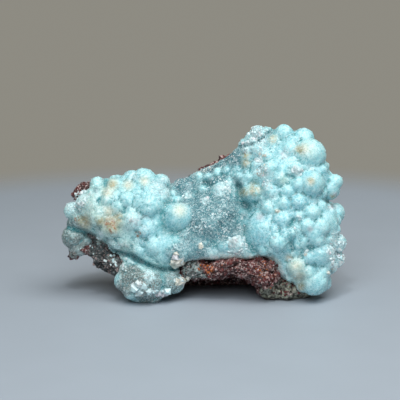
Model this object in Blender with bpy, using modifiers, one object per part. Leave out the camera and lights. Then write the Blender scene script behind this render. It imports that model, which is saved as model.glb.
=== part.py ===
"""Hemimorphite specimen: a blue-green botryoidal crust grown over its rust-red matrix.

Metres, +Z up, with the viewer of the front at -Y and +X to that viewer's right. The origin is
on the surface that the specimen rests on, below the middle of its outline. The sizes written
below are millimetres, and become metres where a mesh is made.
"""

import math
import random

import bmesh
import bpy
from mathutils import Matrix, Vector
from mathutils.bvhtree import BVHTree

MM = 0.001

# The botryoids are placed in views that look at this point from this distance. The front view
# looks down on the specimen by FRONT_TILT degrees.
VIEW_TARGET = Vector((-1.0, 0.0, 32.0))
VIEW_DISTANCE = 600.0
FRONT_TILT = 12.0

# Moves the middle of the finished outline over the origin
CENTRE_SHIFT = (-0.07, -2.55, 0.0)

# Gap kept between the crust and the matrix under it
GAP = 0.35

# The search along a sight line for the mass that carries a botryoid
SEARCH_REACH = 60.0
SEARCH_STEP = 0.4

# Voxels of the fused pieces, and triangles of the finished ones
MASS_VOXEL = 1.2
CRUST_VOXEL = 0.7
CRUST_TRIANGLES = 4400
MATRIX_TRIANGLES = 2300

# Rounds of smoothing that soften the creases where masses meet
CRUST_SOFTENING = 8
MATRIX_SOFTENING = 4
BALL_SOFTENING = 1

# Relief of the broken matrix: size of its blocks, their height, and the share of it inwards
BLOCK_SIZE = 7.0
BLOCK_HEIGHT = 2.2
BLOCK_INWARD = 0.4

# Block of ground under the resting surface, along x, y and z
GROUND = (160.0, 120.0, 20.0)

# Each mass is the skin stretched over a few balls: x, y, z and radius
CRUST_MASSES = {
    "tower foot": [(36, -8, 9, 6.5), (27, -9, 13, 5), (30, 6, 12, 10), (41, 2, 16, 4),
                   (38, -6, 22, 7)],
    "tower middle": [(38, -6, 25, 7), (24, -9, 21, 7.5), (37, 6, 24, 8), (22, 6, 24, 8),
                     (33, -6, 16, 7)],
    "tower top": [(32, -5, 29, 8), (25, -5, 28, 8), (33, 6, 30, 8), (36, -1, 41, 6.2),
                  (25, -1, 41, 6.5), (29, 3, 49, 5), (35, 5, 45, 5), (29, 8, 42, 7)],
    "druse ridge": [(17, 4, 48, 5), (11, 6, 42, 4.5), (23, 4, 45, 6), (16, 2, 34, 6)],
    "saddle": [(9, 7.5, 41.7, 3.9), (-4, 9, 34.6, 3.8), (-12, 7, 31, 4), (-9, -8, 17, 4),
               (16, -9, 17.6, 4)],
    "saddle swell": [(-8, -3, 27, 5), (1, -5, 24, 6), (8, 0, 30, 6)],
    "left mass": [(-35, -1, 30, 7), (-19, -1, 31, 8), (-27, 3, 33, 6.5), (-15, -5, 24, 6),
                  (-38, 2, 26, 6), (-25, -4, 24, 7), (-27, 8, 28, 7)],
    "ledge": [(-20, -8, 18.5, 3.5), (-11, -11, 17.2, 3.5), (-4, -10, 17.4, 3.5), (-12, -4, 23, 5)],
    "left knob": [(-43, 1, 18, 3.5), (-40, 2, 24, 5)],
    "front foot": [(-20.5, -10, 6, 7), (-12.5, -10, 7, 5), (-12, -4, 13, 4.5)],
    "left skirt": [(-26, -7.5, 15, 2.5), (-19, -8.5, 14, 3), (-24, -3, 20, 4)],
}

MATRIX_MASSES = {
    "back wall": [(-16, 12, 22, 8), (4, 13, 30, 8), (10, 15, 8, 8), (-14, 13, 8, 8)],
    "base": [(-13, 15, 5, 6.5), (6, 16, 5, 7), (31, 15, 6, 7.5), (24, 4, 14, 6), (-4, 6, 14, 6)],
    "ridge": [(-2, 12, 34.8, 3.8), (9, 11, 43, 3.2), (4, 12, 28, 6), (18, 13, 34, 6)],
    "tower core": [(24, 14, 12, 8), (27, 13, 39, 6), (36, 11, 20, 7), (14, 12, 34, 6)],
    "left core": [(-37, 8, 25, 5), (-22, 9, 27, 7), (-30, 2, 20, 4.5), (-30, 12, 20, 5)],
    "left neck": [(-40, 4, 19, 3.5), (-38, 4, 14.5, 3), (-30, 3, 14, 4.5), (-31, 3, 20, 4.5)],
    "red knob": [(-42.6, 3.5, 32.6, 2.6), (-39, 4.5, 35.4, 2.7), (-35, 6, 29, 4)],
    "left band": [(-44, 2, 14, 2.2), (-36, -3, 13.8, 2.2), (-27, -7, 9, 3.2), (-24, 4, 13, 5)],
    "arch band, left": [(-6, -8, 9, 2.6), (4, -10, 11.5, 3), (12, -11, 12, 3.4), (4, 4, 15, 4)],
    "arch band, right": [(12, -11, 12, 3.4), (20, -11, 9, 5), (12, 6, 14, 6)],
    "right foot": [(23, -7, 4.5, 4.5), (34, -5, 3.6, 4), (28, 4, 10, 6)],
}

# Botryoids of the front, by how deep their middles lie in the mass that carries them, as a share
# of the radius: across and up from the target in the view, and radius. They grew a little wider
# than they show, by SPREAD, and so into each other.
FRONT_BALLS = {
    0.65: [(22.0, -11.0, 7.0), (-25.0, -27.0, 3.6), (-24.0, -23.5, 3.0), (37.7, -11.0, 4.7),
           (27.7, -7.0, 4.0), (-14.3, 1.0, 4.3), (-18.0, -27.5, 5.4), (-12.0, -27.5, 3.4),
           (-22.5, -30.0, 3.3), (-16.0, -31.5, 3.2), (-8.7, -27.5, 3.4), (-19.5, -23.6, 2.8),
           (-14.0, -23.8, 2.6), (40.0, -17.7, 4.5)],
    0.25: [(32.3, 9.6, 1.9), (36.6, 15.0, 5.3), (34.4, 20.4, 3.6), (28.0, 22.0, 3.2),
           (24.3, 18.6, 3.3), (37.0, 5.4, 4.3), (16.7, 1.9, 3.2), (19.0, 2.2, 3.1),
           (-7.5, -5.8, 4.8), (32.3, -22.3, 3.5), (45.0, -4.3, 3.3), (33.0, 5.0, 2.9),
           (43.0, 3.7, 3.6)],
    0.4: [(38.0, -27.2, 4.5), (36.0, -24.0, 2.8), (41.0, -24.0, 2.4), (43.2, -22.3, 2.3),
           (34.3, -28.3, 2.5), (3.0, 7.3, 2.0), (6.0, 9.0, 1.9), (9.2, 9.7, 1.8), (10.0, 5.8, 1.9),
           (1.0, 3.4, 1.7), (11.3, 8.6, 1.6), (30.0, 16.7, 2.6), (19.3, 22.4, 2.4),
           (17.0, 20.8, 2.0), (14.7, 18.7, 1.8), (22.4, 21.8, 2.6), (21.0, 19.6, 2.2),
           (17.8, 18.0, 2.0), (19.3, 16.7, 2.2), (15.7, 14.0, 1.8), (41.0, 10.0, 1.5),
           (15.7, 12.0, 1.8), (19.0, 11.7, 1.8), (23.3, 10.7, 2.4), (27.3, 10.3, 1.9),
           (32.0, 10.0, 2.2), (27.0, 7.0, 2.8), (45.0, 6.0, 2.6), (13.3, 7.7, 1.8),
           (16.3, 7.7, 1.7), (23.7, 2.7, 2.6), (29.3, 2.7, 2.5), (33.0, -1.0, 2.9),
           (28.0, -1.3, 2.4), (40.3, -2.3, 2.1), (37.3, -4.3, 2.9), (33.0, -5.3, 2.0),
           (22.7, -2.7, 2.2), (18.0, -12.0, 3.0), (26.3, -14.3, 3.1), (29.0, -11.7, 2.7),
           (20.3, -6.3, 3.0), (35.7, -8.7, 2.8), (40.3, -9.0, 3.0), (39.0, -13.0, 2.9),
           (34.3, -14.0, 2.0), (42.3, -20.5, 2.7), (45.7, -14.3, 3.0), (45.3, -19.7, 2.8),
           (36.3, -19.3, 2.4), (12.3, -15.0, 2.7), (6.3, 3.0, 2.8), (-8.0, -0.7, 2.3),
           (21.3, -16.7, 2.2)],
    0.6: [(-13.0, 5.7, 3.0), (-18.7, 6.3, 4.2), (-22.7, 6.3, 3.6), (-28.5, 4.3, 3.2),
           (-34.3, 5.3, 2.5), (-34.7, 3.3, 2.2), (-31.3, 0.0, 2.6), (-17.0, -2.0, 4.6),
           (-24.3, -0.3, 3.2), (-27.3, -2.5, 2.6), (-38.3, -1.0, 3.0), (-42.3, -3.7, 3.0),
           (-39.0, -6.3, 3.8), (-33.5, -5.5, 3.8), (-29.3, -9.0, 4.0), (-22.7, -7.0, 4.0),
           (-24.3, -13.0, 3.6), (-17.3, -10.0, 3.4), (-15.5, -15.3, 3.2), (-27.5, -14.3, 3.2),
           (-36.0, -10.5, 3.0), (-32.5, -12.5, 2.6), (-20.0, -16.7, 3.2), (-12.0, -18.5, 3.0),
           (-42.3, -12.3, 3.8), (-40.5, -15.3, 3.5), (-38.3, -13.3, 3.0), (-6.5, -19.0, 3.0)],
}
SPREAD = 1.05

# Where the crust turns away from the front it carries botryoids at random places: their least and
# greatest radius, how deep they lie, how far a middle keeps out of its neighbours as a share of
# the smaller radius, how many places are tried, how far the surface must turn to the front for
# them to end, and how near the matrix the crust is too thin to carry them
SCATTER_LEAST = 1.8
SCATTER_GREATEST = 4.2
SCATTER_SINK = 0.5
SCATTER_APART = 0.25
SCATTER_TRIES = 4000
SCATTER_SEED = 11
TURNED_AWAY = 0.05
THIN_EDGE = 1.8


class View:
    """A viewpoint before the specimen that looks at the target, and its sight lines."""

    def __init__(self, tilt):
        dip = math.radians(tilt)
        self.up = Vector((0.0, math.sin(dip), math.cos(dip)))
        self.forward = Vector((0.0, math.cos(dip), -math.sin(dip)))
        self.eye = VIEW_TARGET - self.forward * VIEW_DISTANCE

    def sight_line(self, across, up):
        """Direction from the eye to the point this far across and up from the target."""
        point = VIEW_TARGET + Vector((across, 0.0, 0.0)) + self.up * up
        return (point - self.eye).normalized()


def skin_over(balls):
    """The convex skin stretched over a few balls, as a bmesh."""
    bm = bmesh.new()
    for x, y, z, radius in balls:
        bmesh.ops.create_icosphere(
            bm, subdivisions=3, radius=radius, matrix=Matrix.Translation((x, y, z)))
    bmesh.ops.delete(bm, geom=bm.edges[:], context="EDGES_FACES")
    bmesh.ops.convex_hull(bm, input=bm.verts[:])
    bmesh.ops.delete(bm, geom=[v for v in bm.verts if not v.link_faces], context="VERTS")
    bmesh.ops.recalc_face_normals(bm, faces=bm.faces[:])
    return bm


def join_skins(name, groups):
    """One mesh that holds the skin of every group of balls, still overlapping."""
    mesh = bpy.data.meshes.new(name)
    joined = bmesh.new()
    for balls in groups:
        skin = skin_over(balls)
        skin.to_mesh(mesh)
        skin.free()
        joined.from_mesh(mesh)
    joined.to_mesh(mesh)
    joined.free()
    return mesh


def settle(obj):
    """Replace an object's mesh with the one that its modifiers give."""
    depsgraph = bpy.context.evaluated_depsgraph_get()
    mesh = bpy.data.meshes.new_from_object(obj.evaluated_get(depsgraph))
    mesh.name = obj.name
    obj.modifiers.clear()
    obj.data = mesh


def add_object(name, mesh, collection):
    made = bpy.data.objects.new(name, mesh)
    collection.objects.link(made)
    return made


def fuse(obj, voxel, rounds):
    """Melt the overlapping skins of an object into one body and soften the creases."""
    remesh = obj.modifiers.new("melt", "REMESH")
    remesh.mode = "VOXEL"
    remesh.voxel_size = voxel
    smooth = obj.modifiers.new("soften", "SMOOTH")
    smooth.factor = 0.5
    smooth.iterations = rounds
    settle(obj)


def seat(view, across, up, radius, sink, tree):
    """Middle of a ball that sits on the carrying mass where the sight line meets it."""
    line = view.sight_line(across, up)
    travel = VIEW_DISTANCE - SEARCH_REACH
    least = None
    while travel < VIEW_DISTANCE + SEARCH_REACH:
        point = view.eye + line * travel
        nearest, outward, _, distance = tree.find_nearest(point)
        depth = distance if (point - nearest).dot(outward) > 0 else -distance
        if least is None or depth < least:
            least = depth
            middle = point
        if depth <= -sink * radius:
            break
        travel += SEARCH_STEP
    return middle


def tree_of(mesh):
    return BVHTree.FromPolygons(
        [v.co.copy() for v in mesh.vertices], [tuple(p.vertices) for p in mesh.polygons])


def seat_botryoids(mesh, rock):
    """All botryoids: those read in the front view, then those scattered over the other sides."""
    carrier = tree_of(mesh)
    rock_tree = tree_of(rock)
    front = View(FRONT_TILT)
    balls = [(seat(front, across, up, radius, sink, carrier), radius)
             for sink, group in FRONT_BALLS.items() for across, up, radius in group]
    dice = random.Random(SCATTER_SEED)
    for index in dice.sample(range(len(mesh.vertices)), SCATTER_TRIES):
        vert = mesh.vertices[index]
        radius = dice.uniform(SCATTER_LEAST, SCATTER_GREATEST)
        if vert.normal.dot(front.forward) < -TURNED_AWAY:
            continue
        if rock_tree.find_nearest(vert.co)[3] < THIN_EDGE:
            continue
        middle = vert.co - vert.normal * (SCATTER_SINK * radius)
        if all((middle - other).length > max(radius, r) + SCATTER_APART * min(radius, r)
               for other, r in balls):
            balls.append((middle, radius))
    return balls


def join_balls(mesh, balls):
    """Add a ball for every botryoid to the mesh of the masses."""
    ball = bmesh.new()
    bmesh.ops.create_icosphere(ball, subdivisions=3, radius=1.0)
    corners = [v.co.copy() for v in ball.verts]
    facets = [[v.index for v in face.verts] for face in ball.faces]
    ball.free()
    points = [v.co.copy() for v in mesh.vertices]
    polygons = [tuple(p.vertices) for p in mesh.polygons]
    for middle, radius in balls:
        first = len(points)
        points += [middle + corner * (SPREAD * radius) for corner in corners]
        polygons += [[first + index for index in facet] for facet in facets]
    mesh.clear_geometry()
    mesh.from_pydata(points, [], polygons)


def thin_out(obj, triangles):
    """Take the mesh down to about this many triangles."""
    obj.data.calc_loop_triangles()
    decimate = obj.modifiers.new("thin out", "DECIMATE")
    decimate.ratio = min(1.0, triangles / len(obj.data.loop_triangles))
    decimate.use_collapse_triangulate = True
    settle(obj)


def cut(obj, cutter):
    boolean = obj.modifiers.new("cut " + cutter.name, "BOOLEAN")
    boolean.operation = "DIFFERENCE"
    boolean.solver = "EXACT"
    boolean.object = cutter
    settle(obj)


def keep_largest_body(obj):
    """Delete the crumbs that a cut leaves beside the main body."""
    bm = bmesh.new()
    bm.from_mesh(obj.data)
    unseen = set(bm.verts)
    bodies = []
    while unseen:
        front_line = [unseen.pop()]
        body = set(front_line)
        while front_line:
            vert = front_line.pop()
            for edge in vert.link_edges:
                other = edge.other_vert(vert)
                if other in unseen:
                    unseen.remove(other)
                    body.add(other)
                    front_line.append(other)
        bodies.append(body)
    bodies.sort(key=len)
    spare = [vert for body in bodies[:-1] for vert in body]
    bmesh.ops.delete(bm, geom=spare, context="VERTS")
    bmesh.ops.triangulate(bm, faces=bm.faces[:])
    bm.to_mesh(obj.data)
    bm.free()


def material(name, colour, roughness):
    made = bpy.data.materials.new(name)
    made.use_nodes = True
    shader = made.node_tree.nodes["Principled BSDF"]
    shader.inputs["Base Color"].default_value = (*colour, 1.0)
    shader.inputs["Roughness"].default_value = roughness
    shader.inputs["Metallic"].default_value = 0.0
    return made


for old in list(bpy.data.objects):
    bpy.data.objects.remove(old)

specimen = bpy.data.collections.new("hemimorphite specimen")
cutters = bpy.data.collections.new("cutters")
for collection in (specimen, cutters):
    bpy.context.scene.collection.children.link(collection)

# The matrix: iron-stained country rock, broken into blocks
matrix = add_object("matrix", join_skins("matrix", MATRIX_MASSES.values()), specimen)
fuse(matrix, MASS_VOXEL, MATRIX_SOFTENING)
blocks = bpy.data.textures.new("blocks", "VORONOI")
blocks.noise_scale = BLOCK_SIZE
relief = matrix.modifiers.new("relief", "DISPLACE")
relief.texture = blocks
relief.texture_coords = "LOCAL"
relief.strength = BLOCK_HEIGHT
relief.mid_level = BLOCK_INWARD
fuse(matrix, MASS_VOXEL, BALL_SOFTENING)
thin_out(matrix, MATRIX_TRIANGLES)

# The crust: its masses fused, the botryoids seated on them, and all of it melted together
crust_skins = join_skins("hemimorphite_crust", CRUST_MASSES.values())
crust = add_object("hemimorphite_crust", crust_skins, specimen)
fuse(crust, MASS_VOXEL, CRUST_SOFTENING)
join_balls(crust.data, seat_botryoids(crust.data, matrix.data))
fuse(crust, CRUST_VOXEL, BALL_SOFTENING)
thin_out(crust, CRUST_TRIANGLES)

# The hollow that the matrix fills in the crust: the matrix, swollen by the gap
swollen = add_object("swollen matrix", matrix.data.copy(), cutters)
swell = swollen.modifiers.new("gap", "DISPLACE")
swell.strength = GAP
swell.mid_level = 0.0
settle(swollen)
cut(crust, swollen)

# Both pieces end in flat spots on the surface that the specimen rests on
bpy.ops.mesh.primitive_cube_add(size=1.0, location=(0.0, 0.0, -GROUND[2] / 2))
ground = bpy.context.object
ground.name = "ground"
ground.data.transform(Matrix.Diagonal((*GROUND, 1.0)))
for holder in list(ground.users_collection):
    holder.objects.unlink(ground)
cutters.objects.link(ground)
for piece in (crust, matrix):
    cut(piece, ground)
    keep_largest_body(piece)

finishes = {
    crust: material("hemimorphite", (0.36, 0.66, 0.68), 0.35),
    matrix: material("iron-stained matrix", (0.17, 0.055, 0.04), 0.75),
}
to_metres = Matrix.Scale(MM, 4) @ Matrix.Translation(CENTRE_SHIFT)
for piece, finish in finishes.items():
    piece.data.transform(to_metres)
    piece.data.materials.clear()
    piece.data.materials.append(finish)
for cutter in (swollen, ground):
    cutter.data.transform(to_metres)
    cutter.location *= MM
    cutter.hide_render = True
    cutter.display_type = "WIRE"
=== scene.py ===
import math
import random

import bmesh
import bpy
import numpy as np
from mathutils import Matrix, Vector
from mathutils.bvhtree import BVHTree


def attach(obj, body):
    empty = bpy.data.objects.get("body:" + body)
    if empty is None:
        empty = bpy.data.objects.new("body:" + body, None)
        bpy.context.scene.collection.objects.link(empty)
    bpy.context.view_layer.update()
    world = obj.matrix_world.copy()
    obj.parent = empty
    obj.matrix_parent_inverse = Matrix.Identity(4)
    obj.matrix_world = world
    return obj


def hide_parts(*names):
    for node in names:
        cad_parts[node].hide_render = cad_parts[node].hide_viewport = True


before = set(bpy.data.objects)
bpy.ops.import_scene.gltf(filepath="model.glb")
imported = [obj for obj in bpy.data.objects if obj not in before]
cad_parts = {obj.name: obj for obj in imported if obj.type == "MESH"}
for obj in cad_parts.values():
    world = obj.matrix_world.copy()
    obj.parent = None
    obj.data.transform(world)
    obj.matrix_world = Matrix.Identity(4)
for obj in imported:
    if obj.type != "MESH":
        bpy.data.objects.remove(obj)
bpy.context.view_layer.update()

# THE MATRIX
# The block of country rock that the crust grew on: iron-stained quartz and clay from the wall of
# a vein. Its faces are broken into blocks and pitted. Sizes here and below are in millimetres,
# and a mesh turns into metres when it is done.
MM = 0.001
ROCK_VOXEL = 0.4
ROCK_SOFTENING = 3
# The blocks that its faces are broken into: width, how much they differ in height, and seed
ROCK_BLOCKS = [(8.0, 1.5, 21), (3.6, 0.8, 22), (1.5, 0.36, 23)]
# How crooked the blocks' edges are, as a share of their width, and how steep their faces
BLOCK_SWAY = 0.15
BLOCK_SLOPE = 2.4
# The cracks between the blocks, as shares of their height and width
CRACK_DEPTH = 0.25
CRACK_WIDTH = 0.08
# Finer relief: width, height and seed
ROCK_RIPPLES = [(4.0, 0.4, 31), (0.9, 0.12, 32)]
# The relief fades out below this height, so that the rock stands flat
ROCK_FOOT = 1.5
# A pit of the rock, which the paint darkens as painted shade: rounds of averaging that span it,
# and its depth
ROCK_PIT = (10, 0.35)
# Patches of other stone and stain, and of a thin film of the crust: x, y, z and radius
ROCK_PATCHES = {
    "grey": [(-32, -6, 15, 9), (-28, -8, 9, 9), (-24, -8, 13, 7), (-25, -9, 4, 7),
             (30, 20, 10, 9), (-16, 18, 12, 9), (4, 22, 34, 7), (-36, -5, 20.5, 5)],
    "olive": [(28, -14, 2.5, 8.5), (35, -12, 2.5, 8.5), (22, -15, 2, 6), (10, 22, 10, 6)],
    "orange": [(20, -17, 11, 3.6), (23, -17, 9, 2.4), (2, -14, 11, 3.5), (-37, 2, 34, 0.8),
               (12, 22, 22, 6), (-5, 20, 8, 6), (33, 18, 30, 5)],
    "pink": [(14, -16, 10, 4), (17, -17, 5.5, 3), (26, -17, 8, 3), (-8, 20, 26, 7)],
    "film": [(-3.5, -14, 10.5, 5.0), (-1.0, -14, 8.0, 3.0), (-44.0, -5, 15, 4.5),
             (-30, -10, 15, 3.5)],
}
# Corners of the underside that wore away: x, y, z, radius and how much is gone
WORN_ROCK = [(-40, -4, 9.5, 9.0, 3.2), (-32.5, -7.5, 6.0, 8.0, 2.0)]
# Large numbers that mix a place and a seed into a random number
PLACE_MIXERS = (73856093, 19349663, 83492791)
SEED_MIXER = 2654435761
BIT_MIXER = 0x45D9F3B


def hashed(cell, seed):
    """A number from 0 to 1 for every cell of whole-number places."""
    mixed = seed * SEED_MIXER
    for axis, mixer in enumerate(PLACE_MIXERS):
        mixed = (cell[..., axis] * mixer) ^ mixed
    mixed = mixed & 0xFFFFFFFF
    for _ in range(2):
        mixed = ((mixed ^ (mixed >> 16)) * BIT_MIXER) & 0xFFFFFFFF
    return ((mixed ^ (mixed >> 16)) & 0xFFFFFF) / float(0xFFFFFF)


def corner_steps(low, high):
    steps = range(low, high)
    return [np.array((i, j, k)) for i in steps for j in steps for k in steps]


def soft_step(share):
    """A share from 0 to 1, made to start and end gently."""
    return share * share * (3.0 - 2.0 * share)


def ripple(points, size, seed):
    """Smooth noise from -1 to 1, with humps about as wide as size."""
    place = points / size
    cell = np.floor(place).astype(np.int64)
    part = soft_step(place - cell)
    total = np.zeros(len(points))
    for step in corner_steps(0, 2):
        share = np.where(step == 1, part, 1.0 - part).prod(axis=1)
        total += share * hashed(cell + step, seed)
    return total * 2.0 - 1.0


def blocks(points, size, seed, sway):
    """The block that each point is in, as a number from 0 to 1, how far the point is from its
    edge, and how high the point is on the block's tilted face. Sway makes the edges crooked."""
    bends = [ripple(points, size, seed + 40 + axis) for axis in range(3)]
    place = (points + np.stack(bends, axis=1) * size * sway) / size
    cell = np.floor(place).astype(np.int64)
    nearest = np.full(len(points), 9.0)
    second = np.full(len(points), 9.0)
    number = np.zeros(len(points))
    slope = np.zeros(len(points))
    for step in corner_steps(-1, 2):
        there = cell + step
        seat = there + np.stack([hashed(there, seed + axis) for axis in range(3)], axis=1)
        far = np.linalg.norm(place - seat, axis=1)
        closer = far < nearest
        second = np.where(closer, nearest, np.minimum(second, far))
        number = np.where(closer, hashed(there, seed + 7), number)
        tilt = np.stack([hashed(there, seed + 8 + axis) - 0.5 for axis in range(3)], axis=1)
        slope = np.where(closer, ((place - seat) * tilt).sum(axis=1), slope)
        nearest = np.where(closer, far, nearest)
    return number, (second - nearest) * size, slope


def settle(obj):
    """Replace an object's mesh with the one that its modifiers give."""
    depsgraph = bpy.context.evaluated_depsgraph_get()
    mesh = bpy.data.meshes.new_from_object(obj.evaluated_get(depsgraph))
    obj.modifiers.clear()
    obj.data = mesh


def melt(obj, voxel, rounds):
    """Fuse what overlaps in an object into one body and soften its creases."""
    remesh = obj.modifiers.new("melt", "REMESH")
    remesh.mode = "VOXEL"
    remesh.voxel_size = voxel
    smooth = obj.modifiers.new("soften", "SMOOTH")
    smooth.factor = 0.5
    smooth.iterations = rounds
    settle(obj)


def add_object(name, data):
    made = bpy.data.objects.new(name, data)
    bpy.context.scene.collection.objects.link(made)
    return made


def places(mesh):
    """The points of a mesh and their outward directions."""
    points = np.empty(len(mesh.vertices) * 3)
    mesh.vertices.foreach_get("co", points)
    outward = np.empty(len(mesh.vertices) * 3)
    mesh.vertices.foreach_get("normal", outward)
    return points.reshape(-1, 3), outward.reshape(-1, 3)


def put_points(mesh, points):
    mesh.vertices.foreach_set("co", points.astype(np.float32).ravel())
    mesh.update()


def neighbour_mean(mesh, values, rounds):
    """Values of the points, averaged with their neighbours' again and again."""
    ends = np.empty(len(mesh.edges) * 2, dtype=np.int32)
    mesh.edges.foreach_get("vertices", ends)
    start, end = ends.reshape(-1, 2).T
    here = np.concatenate([start, end])
    there = np.concatenate([end, start])
    count = np.maximum(np.bincount(here, minlength=len(values)), 1).astype(float)
    for _ in range(rounds):
        columns = [np.bincount(here, weights=column[there], minlength=len(values)) / count
                   for column in values.T]
        values = 0.5 * values + 0.5 * np.stack(columns, axis=1)
    return values


def hollowness(mesh, rounds, full):
    """1 in a hollow, 0 on a rise and a half on a flat, where full is a hollow's depth."""
    points, outward = places(mesh)
    depth = ((neighbour_mean(mesh, points, rounds) - points) * outward).sum(axis=1)
    return np.clip(0.5 + 0.5 * depth / full, 0.0, 1.0)


def write_mask(mesh, name, values):
    mask = mesh.attributes.new(name, "FLOAT", "POINT")
    mask.data.foreach_set("value", values.astype(np.float32))


def near(points, zones):
    """1 in the middle of the zones, falling to 0 at their rims. A zone is x, y, z and radius."""
    best = np.zeros(len(points))
    for x, y, z, radius in zones:
        reach = np.clip(1.0 - np.linalg.norm(points - (x, y, z), axis=1) / radius, 0.0, 1.0)
        best = np.maximum(best, soft_step(reach))
    return best


def tree_of(mesh):
    return BVHTree.FromPolygons(
        [vert.co.copy() for vert in mesh.vertices],
        [tuple(face.vertices) for face in mesh.polygons])


class Wire:
    """An output of a shader node. Sums on it add Math nodes."""

    def __init__(self, look, socket):
        self.look = look
        self.socket = socket

    def maths(self, operation, *values):
        return self.look.node("ShaderNodeMath", {"operation": operation}, dict(enumerate(values)))

    def __add__(self, other):
        return self.maths("ADD", self, other)

    def __sub__(self, other):
        return self.maths("SUBTRACT", self, other)

    def __rsub__(self, other):
        return self.maths("SUBTRACT", other, self)

    def __mul__(self, other):
        return self.maths("MULTIPLY", self, other)

    def over(self, low, high):
        """0 below low and 1 above high, with a soft step between."""
        return self.look.node(
            "ShaderNodeMapRange", {"interpolation_type": "SMOOTHSTEP"},
            {"Value": self, "From Min": low, "From Max": high})

    __radd__ = __add__
    __rmul__ = __mul__


class Look:
    """A material, its nodes, and the places that its patterns hang on."""

    def __init__(self, name):
        self.material = bpy.data.materials.new(name)
        self.material.use_nodes = True
        self.tree = self.material.node_tree
        self.tree.nodes.clear()
        self.place = self.node("ShaderNodeTexCoord", {}, {}, "Object")

    def node(self, kind, settings, inputs, output=0):
        made = self.tree.nodes.new(kind)
        for key, value in settings.items():
            setattr(made, key, value)
        for key, value in inputs.items():
            if isinstance(value, Wire):
                self.tree.links.new(value.socket, made.inputs[key])
            else:
                made.inputs[key].default_value = value
        return Wire(self, made.outputs[output]) if made.outputs else None

    def mask(self, name):
        return self.node("ShaderNodeAttribute", {"attribute_name": name}, {}, "Fac")

    def noise(self, size, detail, roughness=0.55):
        """Smooth noise whose humps are about size millimetres wide."""
        return self.node("ShaderNodeTexNoise", {}, {
            "Vector": self.place, "Scale": 1.0 / (size * MM), "Detail": detail,
            "Roughness": roughness}, "Fac")

    def grains(self, size, output="Distance"):
        """Grains about size millimetres wide: the distance to the middle, or a colour for each."""
        return self.node("ShaderNodeTexVoronoi", {}, {
            "Vector": self.place, "Scale": 1.0 / (size * MM)}, output)

    def chance(self, size, channel="Red"):
        """A random number from 0 to 1 for every grain."""
        colour = self.grains(size, "Color")
        return self.node("ShaderNodeSeparateColor", {}, {0: colour}, channel)

    def blend(self, share, under, over):
        """One colour under another, each a wire or its red, green and blue."""
        under, over = [(*colour, 1.0) if isinstance(colour, tuple) else colour
                       for colour in (under, over)]
        return self.node("ShaderNodeMix", {"data_type": "RGBA"}, {0: share, 6: under, 7: over}, 2)

    def facets(self, size, tilt):
        """Outward directions that lean another way on every grain."""
        lean = self.node("ShaderNodeVectorMath", {"operation": "SUBTRACT"}, {
            0: self.grains(size, "Color"), 1: (0.5, 0.5, 0.5)})
        lean = self.node("ShaderNodeVectorMath", {"operation": "SCALE"}, {0: lean, "Scale": tilt})
        outward = self.node("ShaderNodeNewGeometry", {}, {}, "Normal")
        both = self.node("ShaderNodeVectorMath", {"operation": "ADD"}, {0: outward, 1: lean})
        return self.node("ShaderNodeVectorMath", {"operation": "NORMALIZE"}, {0: both})

    def bump(self, height, depth, under):
        """Relief of this depth in millimetres, laid over the outward directions under it."""
        return self.node("ShaderNodeBump", {}, {
            "Height": height, "Strength": 1.0, "Distance": depth * MM, "Normal": under})

    def shine(self, **inputs):
        """The shader of the surface, with its inputs by their names."""
        named = {key.replace("_", " "): value for key, value in inputs.items()}
        surface = self.node("ShaderNodeBsdfPrincipled", {}, named)
        self.node("ShaderNodeOutputMaterial", {}, {"Surface": surface})
        return self.material


def finish_piece(obj, material, smooth=True):
    """Turn the millimetres of a mesh into metres, paint it and fix it to the specimen."""
    obj.data.transform(Matrix.Scale(MM, 4))
    if smooth:
        obj.data.shade_smooth()
    else:
        obj.data.shade_flat()
    obj.data.update()
    obj.data.materials.clear()
    obj.data.materials.append(material)
    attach(obj, "root")


rock = add_object("matrix_rock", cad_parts["matrix"].data.copy())
rock.data.transform(Matrix.Scale(1.0 / MM, 4))
melt(rock, ROCK_VOXEL, ROCK_SOFTENING)
points, outward = places(rock.data)
depth = np.zeros(len(points))
for size, height, seed in ROCK_BLOCKS:
    number, edge, slope = blocks(points, size, seed, BLOCK_SWAY)
    depth += (number - 0.5) * height + slope * BLOCK_SLOPE * height
    depth -= CRACK_DEPTH * height * np.exp(-edge / (CRACK_WIDTH * size))
for size, height, seed in ROCK_RIPPLES:
    depth += ripple(points, size, seed) * height
points = points + outward * (depth * np.clip(points[:, 2] / ROCK_FOOT, 0.0, 1.0))[:, None]
for *zone, gone in WORN_ROCK:
    points[:, 2] += gone * near(points, [zone])
points[:, 2] = np.maximum(points[:, 2], 0.0)
put_points(rock.data, points)
write_mask(rock.data, "hollow", hollowness(rock.data, *ROCK_PIT))
for name, zones in ROCK_PATCHES.items():
    write_mask(rock.data, name, near(points, zones))
rock_tree = tree_of(rock.data)

# Colours as red, green and blue
DARK_RED = (0.050, 0.009, 0.012)
LIGHT_RED = (0.23, 0.056, 0.052)
TAN = (0.26, 0.14, 0.11)
BROWN = (0.19, 0.095, 0.085)
DARK_BROWN = (0.055, 0.014, 0.016)
PALE_PINK = (0.50, 0.36, 0.34)
ORANGE = (0.50, 0.13, 0.018)
PALE_FLECK = (0.66, 0.52, 0.50)
DARK_FLECK = (0.022, 0.007, 0.009)
# Painted shade for the pits and hollows of the rock
PAINTED_PIT_SHADE = (0.014, 0.007, 0.006)
# The darkest and lightest of each other stone
STONES = {
    "grey": ((0.018, 0.024, 0.026), (0.105, 0.135, 0.14)),
    "olive": ((0.042, 0.040, 0.030), (0.38, 0.40, 0.31)),
    "film": ((0.085, 0.11, 0.105), (0.34, 0.43, 0.42)),
}
# Widths of the grains and of the finer flecks in the rock
ROCK_GRAIN = 0.7
ROCK_FLECK = 0.42

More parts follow.
